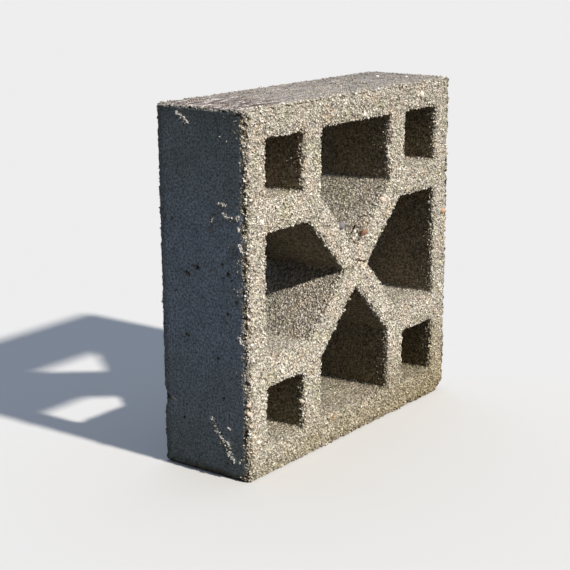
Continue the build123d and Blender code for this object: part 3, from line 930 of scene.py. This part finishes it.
def chosen_faces(tree, place, normal, zone):
    """Whether a place takes the grains of a zone."""
    under_end, under_bed, under_face, arris = depths(tree, place)
    under_side = add(tree, "ShaderNodeMath", under_end, under_bed, operation="MINIMUM")
    parts = add(tree, "ShaderNodeSeparateXYZ", place).node.outputs
    looks = add(tree, "ShaderNodeSeparateXYZ", normal).node.outputs
    if zone in ("front", "back"):
        # The grains of a face run into its cells, and thin out round its arris
        way = -1.0 if zone == "front" else 1.0
        on_half = add(tree, "ShaderNodeMath", parts["Y"], way, operation="MULTIPLY")
        on_half = add(tree, "ShaderNodeMath", on_half, 0.0, operation="GREATER_THAN")
        facing = add(tree, "ShaderNodeMath", looks["Y"], way, operation="MULTIPLY")
        facing = add(tree, "ShaderNodeMath", facing, 0.3, operation="GREATER_THAN")
        in_cell = add(tree, "ShaderNodeMath", under_side, IN_CELL, operation="GREATER_THAN")
        patchy = add(tree, "ShaderNodeTexNoise", place, 1 / (3 * MM), 2.0)
        limit = add(tree, "ShaderNodeMapRange", arris, 1 * MM, 9 * MM, 0.34, 0.7)
        patchy = add(tree, "ShaderNodeMath", patchy, limit, operation="GREATER_THAN")
        chosen = add(tree, "ShaderNodeMath", facing, in_cell, operation="MAXIMUM")
        chosen = add(tree, "ShaderNodeMath", chosen, patchy, operation="MAXIMUM")
        chosen = add(tree, "ShaderNodeMath", chosen, on_half, operation="MULTIPLY")
        reach = add(tree, "ShaderNodeMapRange", in_cell, 0.0, 1.0, 10 * MM, 6 * MM)
        inside = add(tree, "ShaderNodeMath", under_face, reach, operation="LESS_THAN")
    elif zone == "beds":
        chosen = add(tree, "ShaderNodeMath", looks["Z"], operation="ABSOLUTE")
        chosen = add(tree, "ShaderNodeMath", chosen, 0.6, operation="GREATER_THAN")
        patchy = add(tree, "ShaderNodeTexNoise", place, 1 / (14 * MM), 4.0, 0.6)
        low = add(tree, "ShaderNodeMath", under_bed, 3 * MM, operation="LESS_THAN")
        limit = add(tree, "ShaderNodeMapRange", parts["X"], -60 * MM, -100 * MM, 0.48, 0.53)
        patchy = add(tree, "ShaderNodeMath", patchy, limit, operation="GREATER_THAN")
        chosen = add(tree, "ShaderNodeMath", chosen, patchy, operation="MULTIPLY")
        chosen = add(tree, "ShaderNodeMath", chosen, low, operation="MULTIPLY")
        inside = add(tree, "ShaderNodeMath", under_face, 2 * MM, operation="GREATER_THAN")
    else:
        half = "GREATER_THAN" if zone == "upper_cells" else "LESS_THAN"
        chosen = add(tree, "ShaderNodeMath", under_side, IN_CELL, operation="GREATER_THAN")
        in_half = add(tree, "ShaderNodeMath", parts["Z"], MIDDLE.z, operation=half)
        chosen = add(tree, "ShaderNodeMath", chosen, in_half, operation="MULTIPLY")
        inside = add(tree, "ShaderNodeMath", under_face, 6 * MM, operation="GREATER_THAN")
    for name in ("broken", "hole"):
        lost = add(tree, "GeometryNodeInputNamedAttribute", name, data_type="FLOAT")
        whole = add(tree, "ShaderNodeMath", lost, 0.6, operation="LESS_THAN")
        chosen = add(tree, "ShaderNodeMath", chosen, whole, operation="MULTIPLY")
    return add(tree, "ShaderNodeMath", chosen, inside, operation="MULTIPLY")


def set_stones(tree, scatter, size, sink, flat, round_off):
    """Angular stones on scattered points, each with its own turn, sunk by a share of its size."""
    named = {"Min": (0.75, 0.6, flat), "Max": (1.0, 0.95, flat + 0.35), "Seed": SEEDS["shape"]}
    shape = add(tree, "FunctionNodeRandomValue", named=named, data_type="FLOAT_VECTOR")
    scale = add(tree, "ShaderNodeVectorMath", shape, size, operation="SCALE")
    named = {"Min": (-0.5, -0.5, -3.14), "Max": (0.5, 0.5, 3.14), "Seed": SEEDS["turn"]}
    spin = add(tree, "FunctionNodeRandomValue", named=named, data_type="FLOAT_VECTOR")
    turn = add(tree, "FunctionNodeRotateRotation", scatter["Rotation"], spin, rotation_space="LOCAL")
    down = add(tree, "ShaderNodeMath", size, sink, operation="MULTIPLY")
    down = add(tree, "ShaderNodeMath", down, -1.0, operation="MULTIPLY")
    drop = add(tree, "ShaderNodeVectorMath", scatter["Normal"], down, operation="SCALE")
    points = add(tree, "GeometryNodeSetPosition", scatter["Points"], named={"Offset": drop})
    stone = add(tree, "GeometryNodeMeshCube", (STONE_EDGE,) * 3)
    named = {"Points": points, "Instance": stone, "Rotation": turn, "Scale": scale}
    stones = add(tree, "GeometryNodeInstanceOnPoints", named=named)
    stones = add(tree, "GeometryNodeRealizeInstances", stones)
    place = add(tree, "GeometryNodeInputPosition")
    dent = add(tree, "ShaderNodeTexNoise", place, 1 / (1.0 * MM), 0.0, output="Color")
    dent = add(tree, "ShaderNodeVectorMath", dent, (0.5, 0.5, 0.5), operation="SUBTRACT")
    dent = add(tree, "ShaderNodeVectorMath", dent, round_off, operation="SCALE")
    return add(tree, "GeometryNodeSetPosition", stones, named={"Offset": dent})


def scattered(tree, given, chosen):
    """Points strewn on the chosen faces, no two nearer than the spacing."""
    named = {
        "Mesh": given["Geometry"],
        "Selection": chosen,
        "Distance Min": given["Spacing"],
        "Density Max": 4.0 / MM**2,
        "Seed": given["Seed"],
    }
    kind = "GeometryNodeDistributePointsOnFaces"
    return add(tree, kind, distribute_method="POISSON", named=named).node.outputs


def aggregate_tree(name, material, zone):
    """Grains set into a surface, each with its own size, turn and tone."""
    sockets = [(number, "NodeSocketFloat") for number in ("Spacing", "Smallest", "Largest", "Sink")]
    sockets += [("Seed", "NodeSocketInt"), ("Stained", "NodeSocketObject")]
    tree, given = tree_for(name, sockets)
    place = add(tree, "GeometryNodeInputPosition")
    normal = add(tree, "GeometryNodeInputNormal")
    arris = depths(tree, place)[3]
    scatter = dict(scattered(tree, given, chosen_faces(tree, place, normal, zone)).items())

    # Most are small: the chance is raised to a power
    skew = add(tree, "FunctionNodeRandomValue", named={"Seed": SEEDS["size"]}, data_type="FLOAT")
    skew = add(tree, "ShaderNodeMath", skew, 2.4, operation="POWER")
    size = add(tree, "ShaderNodeMapRange", skew, 0.0, 1.0, given["Smallest"], given["Largest"])

    # Some stand proud, most of all beside an arris, where the paste is worn back, and those on a ledge
    # in a cell were tamped flush
    named = {"Min": -0.1, "Max": 0.1, "Seed": SEEDS["proud"]}
    proud = add(tree, "FunctionNodeRandomValue", named=named, data_type="FLOAT")
    exposed = add(tree, "ShaderNodeMapRange", arris, 3 * MM, 7 * MM, 0.0, -0.08)
    sink = add(tree, "ShaderNodeMath", given["Sink"], proud, operation="ADD")
    sink = add(tree, "ShaderNodeMath", sink, exposed, operation="ADD")
    if "cells" in zone:
        looks_up = add(tree, "ShaderNodeSeparateXYZ", normal).node.outputs["Z"]
        flush = add(tree, "ShaderNodeMapRange", looks_up, 0.8, 0.95, 0.08, 0.26)
        sink = add(tree, "ShaderNodeMath", sink, flush, operation="ADD")

    # About half the grains in a stained place are rusty
    named = {"Min": 0.0, "Max": 0.94, "Seed": SEEDS["tone"]}
    tone = add(tree, "FunctionNodeRandomValue", named=named, data_type="FLOAT")
    named = {"Min": 0.93, "Max": 1.0, "Seed": SEEDS["rusty"]}
    rusty = add(tree, "FunctionNodeRandomValue", named=named, data_type="FLOAT")
    picked = add(tree, "FunctionNodeRandomValue", named={"Seed": SEEDS["picked"]}, data_type="FLOAT")
    picked = add(tree, "ShaderNodeMath", picked, 0.55, operation="LESS_THAN")
    away, reach = nearest_point(tree, given["Stained"], place, ("reach",))
    stained = add(tree, "ShaderNodeMath", away, reach, operation="LESS_THAN")
    stained = add(tree, "ShaderNodeMath", stained, picked, operation="MULTIPLY")
    tone = add(tree, "ShaderNodeMapRange", stained, 0.0, 1.0, tone, rusty)
    named = {"Geometry": scatter["Points"], "Name": "tone", "Value": tone}
    scatter["Points"] = add(tree, "GeometryNodeStoreNamedAttribute", named=named, data_type="FLOAT")
    close_tree(tree, set_stones(tree, scatter, size, sink, 0.45, 2.2 * MM), material)
    return tree


class SCREENBLOCK_OT_aggregate(bpy.types.Operator):
    """Set the grains of the aggregate into the two pierced faces, the cells and the beds"""

    bl_idname = "screenblock.aggregate"
    bl_label = "Aggregate"

    def execute(self, context):
        settings = context.scene.screenblock_aggregate
        body = bpy.data.objects["cast_body"]
        material = aggregate_material(settings)
        stained = place_points("stained", [(place, reach * MM) for place, reach in STAINED], ("reach",))
        spacings = {
            "front": settings.spacing,
            "back": settings.back_spacing,
            "upper_cells": settings.cell_spacing,
            "lower_cells": settings.cell_spacing,
            "beds": settings.bed_spacing,
        }
        for number, (zone, spacing) in enumerate(spacings.items()):
            bed = link("grain_bed", body.data.copy())
            least, most = (1.0, 1.0) if zone in ("front", "back") else (0.85, 0.64)
            values = {
                "Spacing": spacing,
                "Smallest": settings.smallest * least,
                "Largest": settings.largest * most,
                "Sink": settings.sink,
                "Seed": settings.seed + number,
                "Stained": stained,
            }
            grow(bed, aggregate_tree(f"Aggregate, {zone}", material, zone), values)
            grains = link(f"aggregate_{zone}", plain_mesh(bed, f"aggregate_{zone}"))
            discard(bed)
            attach(grains, "root")
        discard(stained)
        return {"FINISHED"}


def crumb_material(settings):
    """Old masonry mortar: pale, dry and chalky, with no shine."""
    material, tree = material_for("dry lime mortar")
    place = add(tree, "ShaderNodeTexCoord", output="Object")
    fine = add(tree, "ShaderNodeTexNoise", place, 1 / (0.9 * MM), 3.0)
    shade = add(tree, "ShaderNodeMapRange", fine, 0.3, 0.7, 0.75, 1.1)
    base = add(tree, "ShaderNodeVectorMath", tuple(settings.crumb_colour)[:3], shade, operation="SCALE")
    shader = add(tree, "ShaderNodeBsdfPrincipled", named={"Base Color": base, "Roughness": 0.95})
    add(tree, "ShaderNodeOutputMaterial", shader)
    return material


def crumb_tree(material):
    """Broken crumbs of mortar, strewn round the points of the crusts and stuck to the body."""
    sockets = [("Smallest", "NodeSocketFloat"), ("Largest", "NodeSocketFloat")]
    sockets += [("Crumbs", "NodeSocketInt"), ("Body", "NodeSocketObject")]
    tree, given = tree_for("Mortar crumbs", sockets)
    body = add(tree, "GeometryNodeObjectInfo", named={"Object": given["Body"]}, output="Geometry")
    points = add(tree, "GeometryNodeMeshToPoints", given["Geometry"])
    named = {"Amount": given["Crumbs"]}
    points = add(tree, "GeometryNodeDuplicateElements", points, domain="POINT", named=named)
    reach = add(tree, "GeometryNodeInputNamedAttribute", "reach", data_type="FLOAT")
    deep = add(tree, "GeometryNodeInputNamedAttribute", "deep", data_type="FLOAT")
    named = {"Min": (-1.0, -1.0, -1.0), "Max": (1.0, 1.0, 1.0), "Seed": SEEDS["stray"]}
    stray = add(tree, "FunctionNodeRandomValue", named=named, data_type="FLOAT_VECTOR")
    stray = add(tree, "ShaderNodeVectorMath", stray, reach, operation="SCALE")
    points = add(tree, "GeometryNodeSetPosition", points, named={"Offset": stray})
    hit = add(tree, "GeometryNodeProximity", body, output="Position", target_element="FACES")
    points = add(tree, "GeometryNodeSetPosition", points, named={"Position": hit})
    named = {"Mesh": body, "Value": add(tree, "GeometryNodeInputNormal")}
    normal = add(tree, "GeometryNodeSampleNearestSurface", named=named, data_type="FLOAT_VECTOR")
    turn = add(tree, "FunctionNodeAlignRotationToVector", named={"Vector": normal}, axis="Z")
    named = {"Min": 0.0, "Max": 0.7, "Seed": SEEDS["piled"]}
    piled = add(tree, "FunctionNodeRandomValue", named=named, data_type="FLOAT")
    piled = add(tree, "ShaderNodeMath", piled, deep, operation="MULTIPLY")
    piled = add(tree, "ShaderNodeVectorMath", normal, piled, operation="SCALE")
    points = add(tree, "GeometryNodeSetPosition", points, named={"Offset": piled})
    scatter = {"Points": points, "Normal": normal, "Rotation": turn}
    skew = add(tree, "FunctionNodeRandomValue", named={"Seed": SEEDS["size"]}, data_type="FLOAT")
    skew = add(tree, "ShaderNodeMath", skew, 2.2, operation="POWER")
    size = add(tree, "ShaderNodeMapRange", skew, 0.0, 1.0, given["Smallest"], given["Largest"])
    close_tree(tree, set_stones(tree, scatter, size, -0.1, 0.6, 1.4 * MM), material)
    return tree


class SCREENBLOCK_OT_mortar(bpy.types.Operator):
    """Stick the crumbs of old mortar to the left end"""

    bl_idname = "screenblock.mortar"
    bl_label = "Mortar crumbs"

    def execute(self, context):
        settings = context.scene.screenblock_aggregate
        crusts = mark_points(("crust",))
        values = {
            "Crumbs": settings.crumbs,
            "Smallest": settings.crumb_smallest,
            "Largest": settings.crumb_largest,
            "Body": bpy.data.objects["cast_body"],
        }
        grow(crusts, crumb_tree(crumb_material(settings)), values)
        crumbs = link("mortar_crumbs", plain_mesh(crusts, "mortar_crumbs"))
        discard(crusts)
        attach(crumbs, "root")
        return {"FINISHED"}


class SCREENBLOCK_OT_pebbles(bpy.types.Operator):
    """Set the few large pebbles that show at the surface, rounded by water and matt"""

    bl_idname = "screenblock.pebbles"
    bl_label = "Pebbles"

    def execute(self, context):
        body = bpy.data.objects["cast_body"]
        shape = bmesh.new()
        tints = shape.verts.layers.float_color.new("tint")
        for number, (place, size, code) in enumerate(PEBBLES):
            across = size * MM
            spot, normal = body.closest_point_on_mesh(Vector(place) * MM)[1:3]
            # Turned a little to the front and up, lumpy in its own way, flat, and sunk by a tenth
            turn = (normal + Vector((0, -0.5, 0.2))).to_track_quat("Z", "Y").to_matrix()
            stone = bmesh.ops.create_icosphere(shape, subdivisions=3, radius=across / 2)["verts"]
            for vertex in stone:
                lump = noise.noise(vertex.co * (1.7 / across) + Vector((number * 7.3, 0, 0)))
                vertex.co *= 1 + 0.4 * lump
                vertex.co.z = vertex.co.z * 0.7 - across * 0.1
                vertex.co = turn @ vertex.co + spot
                vertex[tints] = linear(code)
        mesh = bpy.data.meshes.new("pebbles")
        shape.to_mesh(mesh)
        shape.free()
        material, tree = material_for("waterworn pebbles")
        tint = add(tree, "ShaderNodeAttribute", output="Color", attribute_name="tint")
        place = add(tree, "ShaderNodeTexCoord", output="Object")
        veins = add(tree, "ShaderNodeTexNoise", place, 1 / (1.1 * MM), 4.0)
        shade = add(tree, "ShaderNodeMapRange", veins, 0.3, 0.7, 0.75, 1.1)
        base = add(tree, "ShaderNodeVectorMath", tint, shade, operation="SCALE")
        named = {"Height": veins, "Strength": 0.8, "Distance": 0.4 * MM}
        bump = add(tree, "ShaderNodeBump", named=named)
        named = {"Base Color": base, "Roughness": 0.7, "Normal": bump}
        add(tree, "ShaderNodeOutputMaterial", add(tree, "ShaderNodeBsdfPrincipled", named=named))
        mesh.materials.append(material)
        mesh.polygons.foreach_set("use_smooth", [True] * len(mesh.polygons))
        pebbles = link("pebbles", mesh)
        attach(pebbles, "root")
        return {"FINISHED"}


class SCREENBLOCK_OT_stage(bpy.types.Operator):
    """Set the floor, the key lamp, the soft surroundings and the camera"""

    bl_idname = "screenblock.stage"
    bl_label = "Stage"

    def execute(self, context):
        settings = context.scene.screenblock_stage
        scene = context.scene
        scene.view_settings.view_transform = "Standard"

        floor_mesh = bpy.data.meshes.new("floor")
        ways = ((-1, -1), (1, -1), (1, 1), (-1, 1))
        corners = [(FLOOR_REACH * x, FLOOR_REACH * y, 0) for x, y in ways]
        floor_mesh.from_pydata(corners, [], [(0, 1, 2, 3)])
        floor = link("floor", floor_mesh)
        paint, tree = material_for("pale matt floor")
        path = add(tree, "ShaderNodeLightPath").node.outputs
        seen = (path["Is Camera Ray"], path["Is Glossy Ray"])
        seen = add(tree, "ShaderNodeMath", *seen, operation="MAXIMUM")
        bounce = tuple(settings.floor_bounce)
        pale = tuple(settings.floor_colour)
        shade = add(tree, "ShaderNodeMix", seen, bounce, pale, output="Result", data_type="RGBA")
        add(tree, "ShaderNodeOutputMaterial", add(tree, "ShaderNodeBsdfDiffuse", shade))
        floor_mesh.materials.append(paint)

        # The surroundings are soft and cool, and stronger behind the block, so its back isn't dark
        world = bpy.data.worlds.new("soft surroundings")
        scene.world = world
        world.use_nodes = True
        tree = world.node_tree
        tree.nodes.clear()
        way = add(tree, "ShaderNodeTexCoord", output="Generated")
        near = add(tree, "ShaderNodeVectorMath", way, BRIGHTEST, operation="DOT_PRODUCT", output="Value")
        strength = (near, 0.2, 1.0, 0.125, 0.82)
        strength = add(tree, "ShaderNodeMapRange", *strength, interpolation_type="SMOOTHSTEP")
        high = add(tree, "ShaderNodeSeparateXYZ", way).node.outputs["Z"]
        high = add(tree, "ShaderNodeMapRange", high, 0.0, 0.45, 0.45, 1.25)
        strength = add(tree, "ShaderNodeMath", strength, high, operation="MULTIPLY")
        soft = add(tree, "ShaderNodeBackground", tuple(settings.sky_colour), strength)
        white = add(tree, "ShaderNodeBackground", linear("#ffffff"), 1.0)
        path = add(tree, "ShaderNodeLightPath").node.outputs
        mixed = add(tree, "ShaderNodeMixShader", path["Is Camera Ray"], soft, white)
        add(tree, "ShaderNodeOutputWorld", mixed)

        data = bpy.data.lights.new("key_lamp", "SUN")
        data.angle = radians(settings.spread)
        data.energy = settings.power
        data.color = tuple(settings.key_colour)[:3]
        key = bpy.data.objects.new("key_lamp", data)
        key.rotation_euler = Vector(KEY_WAY).to_track_quat("-Z", "Y").to_euler()
        scene.collection.objects.link(key)

        data = bpy.data.cameras.new("camera")
        data.sensor_fit = "HORIZONTAL"
        data.sensor_width = 36
        data.lens = settings.lens
        data.clip_start = 0.05
        camera = bpy.data.objects.new("camera", data)
        scene.collection.objects.link(camera)
        turn = Matrix.Rotation(radians(settings.azimuth), 4, "Z")
        tilt = Matrix.Rotation(radians(90 - settings.elevation), 4, "X")
        roll = Matrix.Rotation(radians(settings.roll), 4, "Z")
        camera.matrix_world = Matrix.Translation(settings.place) @ turn @ tilt @ roll
        scene.camera = camera
        return {"FINISHED"}


class SCREENBLOCK_PT_sidebar(bpy.types.Panel):
    """Sizes, colours and steps of the screen block"""

    bl_idname = "SCREENBLOCK_PT_sidebar"
    bl_label = "Screen Block"
    bl_space_type = "VIEW_3D"
    bl_region_type = "UI"
    bl_category = "Screen Block"

    def draw(self, context):
        scene = context.scene
        stones = (SCREENBLOCK_OT_aggregate, SCREENBLOCK_OT_mortar, SCREENBLOCK_OT_pebbles)
        groups = (
            (scene.screenblock_casting, (SCREENBLOCK_OT_casting,)),
            (scene.screenblock_aggregate, stones),
            (scene.screenblock_stage, (SCREENBLOCK_OT_stage,)),
        )
        for settings, operators in groups:
            box = self.layout.box()
            for name in settings.__annotations__:
                box.prop(settings, name)
            for operator in operators:
                box.operator(operator.bl_idname)


CLASSES = (
    CastingSettings,
    AggregateSettings,
    StageSettings,
    SCREENBLOCK_OT_casting,
    SCREENBLOCK_OT_aggregate,
    SCREENBLOCK_OT_mortar,
    SCREENBLOCK_OT_pebbles,
    SCREENBLOCK_OT_stage,
    SCREENBLOCK_PT_sidebar,
)


def register():
    for entry in CLASSES:
        bpy.utils.register_class(entry)
    bpy.types.Scene.screenblock_casting = PointerProperty(type=CastingSettings)
    bpy.types.Scene.screenblock_aggregate = PointerProperty(type=AggregateSettings)
    bpy.types.Scene.screenblock_stage = PointerProperty(type=StageSettings)


def unregister():
    del bpy.types.Scene.screenblock_stage
    del bpy.types.Scene.screenblock_aggregate
    del bpy.types.Scene.screenblock_casting
    for entry in reversed(CLASSES):
        bpy.utils.unregister_class(entry)


def main():
    """Makes every piece and the stage in order."""
    register()
    bpy.ops.screenblock.casting()
    bpy.ops.screenblock.aggregate()
    bpy.ops.screenblock.mortar()
    bpy.ops.screenblock.pebbles()
    bpy.ops.screenblock.stage()


if __name__ == "__main__":
    main()
